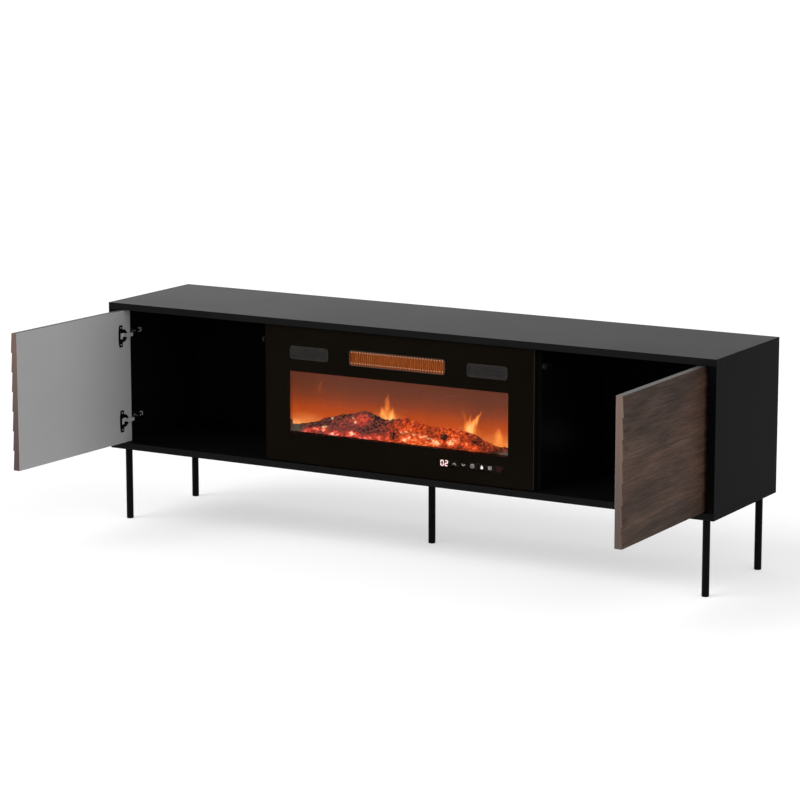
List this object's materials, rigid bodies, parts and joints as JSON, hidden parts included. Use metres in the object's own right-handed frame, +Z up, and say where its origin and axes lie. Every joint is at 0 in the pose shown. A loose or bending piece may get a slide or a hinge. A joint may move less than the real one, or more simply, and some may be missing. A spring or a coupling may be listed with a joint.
{
  "type": "fireplace tv stand",
  "caption": "Low media cabinet on slim round legs, with an electric fireplace insert between compartments whose wood-faced doors stand open.",
  "frame": {"origin": "on the floor, at the centre of the middle foot, midway along the width and the depth of the carcass", "axes": "+X along the width towards the right end seen from the front, +Y towards the back, +Z up"},
  "size_m": [1.8, 0.832, 0.602],
  "materials": {
    "black_board": "fine matt black laminate",
    "back_board": "black fibreboard",
    "door_wood": "dark brown wood decor outside and on the edges, light grey inside",
    "black_steel": "satin black powder coat",
    "nickel": "bright nickel plate",
    "glass": "polished tempered glass",
    "casing_steel": "matt dark grey paint",
    "galvanised": "galvanised sheet",
    "ember": "moulded resin lit from below",
    "log_resin": "moulded resin bark",
    "flame_screen": "diffusing sheet with flame light",
    "heater_copper": "copper coloured fins",
    "grey_plastic": "satin grey plastic",
    "dark_plastic": "matt black plastic",
    "circuit_board": "solder mask",
    "foil": "crinkled reflective strips"
  },
  "bodies": {
    "cabinet": {"top_panel": "black_board", "bottom_panel": "black_board", "side_panel_left": "black_board", "side_panel_right": "black_board", "partition_left": "black_board", "partition_right": "black_board", "back_panel_left": "back_board", "back_panel_middle": "back_board", "back_panel_right": "back_board", "leg_front_left": "black_steel", "leg_front_right": "black_steel", "leg_rear_left": "black_steel", "leg_rear_right": "black_steel", "leg_middle": "black_steel", "front_frame": "black_steel", "hinge_arm_left_upper": "nickel", "hinge_arm_left_lower": "nickel", "hinge_arm_right_upper": "nickel", "hinge_arm_right_lower": "nickel", "hinge_plate_left_upper": "nickel", "hinge_plate_left_lower": "nickel", "hinge_plate_right_upper": "nickel", "hinge_plate_right_lower": "nickel", "glass_front": "glass", "insert_casing": "casing_steel", "insert_back_cover": "casing_steel", "blower_motor": "casing_steel", "spindle_motor": "casing_steel", "chamber_shelf": "galvanised", "blower_housing": "galvanised", "insert_bracket_left": "galvanised", "insert_bracket_right": "galvanised", "ember_bed": "ember", "log_left": "log_resin", "log_right": "log_resin", "flame_screen": "flame_screen", "heater_element": "heater_copper", "outlet_frame": "grey_plastic", "latch_housing_left": "grey_plastic", "latch_housing_right": "grey_plastic", "glide_front_left": "dark_plastic", "glide_front_right": "dark_plastic", "glide_rear_left": "dark_plastic", "glide_rear_right": "dark_plastic", "glide_middle": "dark_plastic", "vent_grille_left": "dark_plastic", "vent_grille_right": "dark_plastic", "power_inlet": "dark_plastic", "control_board": "circuit_board", "lamp_board": "circuit_board"},
    "left_door": {"door_left": "door_wood", "hinge_cup_left_upper": "black_steel", "hinge_cup_left_lower": "black_steel"},
    "right_door": {"door_right": "door_wood", "hinge_cup_right_upper": "black_steel", "hinge_cup_right_lower": "black_steel"},
    "left_plunger": {"latch_plunger_left": "grey_plastic"},
    "right_plunger": {"latch_plunger_right": "grey_plastic"},
    "blower_wheel": {"blower_wheel": "dark_plastic"},
    "flame_spindle": {"flame_spindle": "foil"}
  },
  "joints": [
    {"name": "right_door_hinge", "type": "hinge", "parent": "cabinet", "child": "right_door", "pos_m": [0.861, -0.1815, 0.4], "axis": [0, 0, 1], "range_deg": [-90, 5]},
    {"name": "left_door_hinge", "type": "hinge", "parent": "cabinet", "child": "left_door", "pos_m": [-0.861, -0.1815, 0.4], "axis": [0, 0, -1], "range_deg": [-92.5, 2.5]},
    {"name": "right_latch_press", "type": "slide", "parent": "cabinet", "child": "right_plunger", "axis": [0, -1, 0], "range_m": [-0.0025, 0.012], "stiffness_N_per_m": 150},
    {"name": "left_latch_press", "type": "slide", "parent": "cabinet", "child": "left_plunger", "axis": [0, -1, 0], "range_m": [-0.0025, 0.012], "stiffness_N_per_m": 150},
    {"name": "blower_spin", "type": "hinge", "parent": "cabinet", "child": "blower_wheel", "pos_m": [0, -0.1127, 0.514], "axis": [1, 0, 0], "continuous": true},
    {"name": "flame_spin", "type": "hinge", "parent": "cabinet", "child": "flame_spindle", "pos_m": [0, -0.0768, 0.3], "axis": [1, 0, 0], "continuous": true}
  ]
}
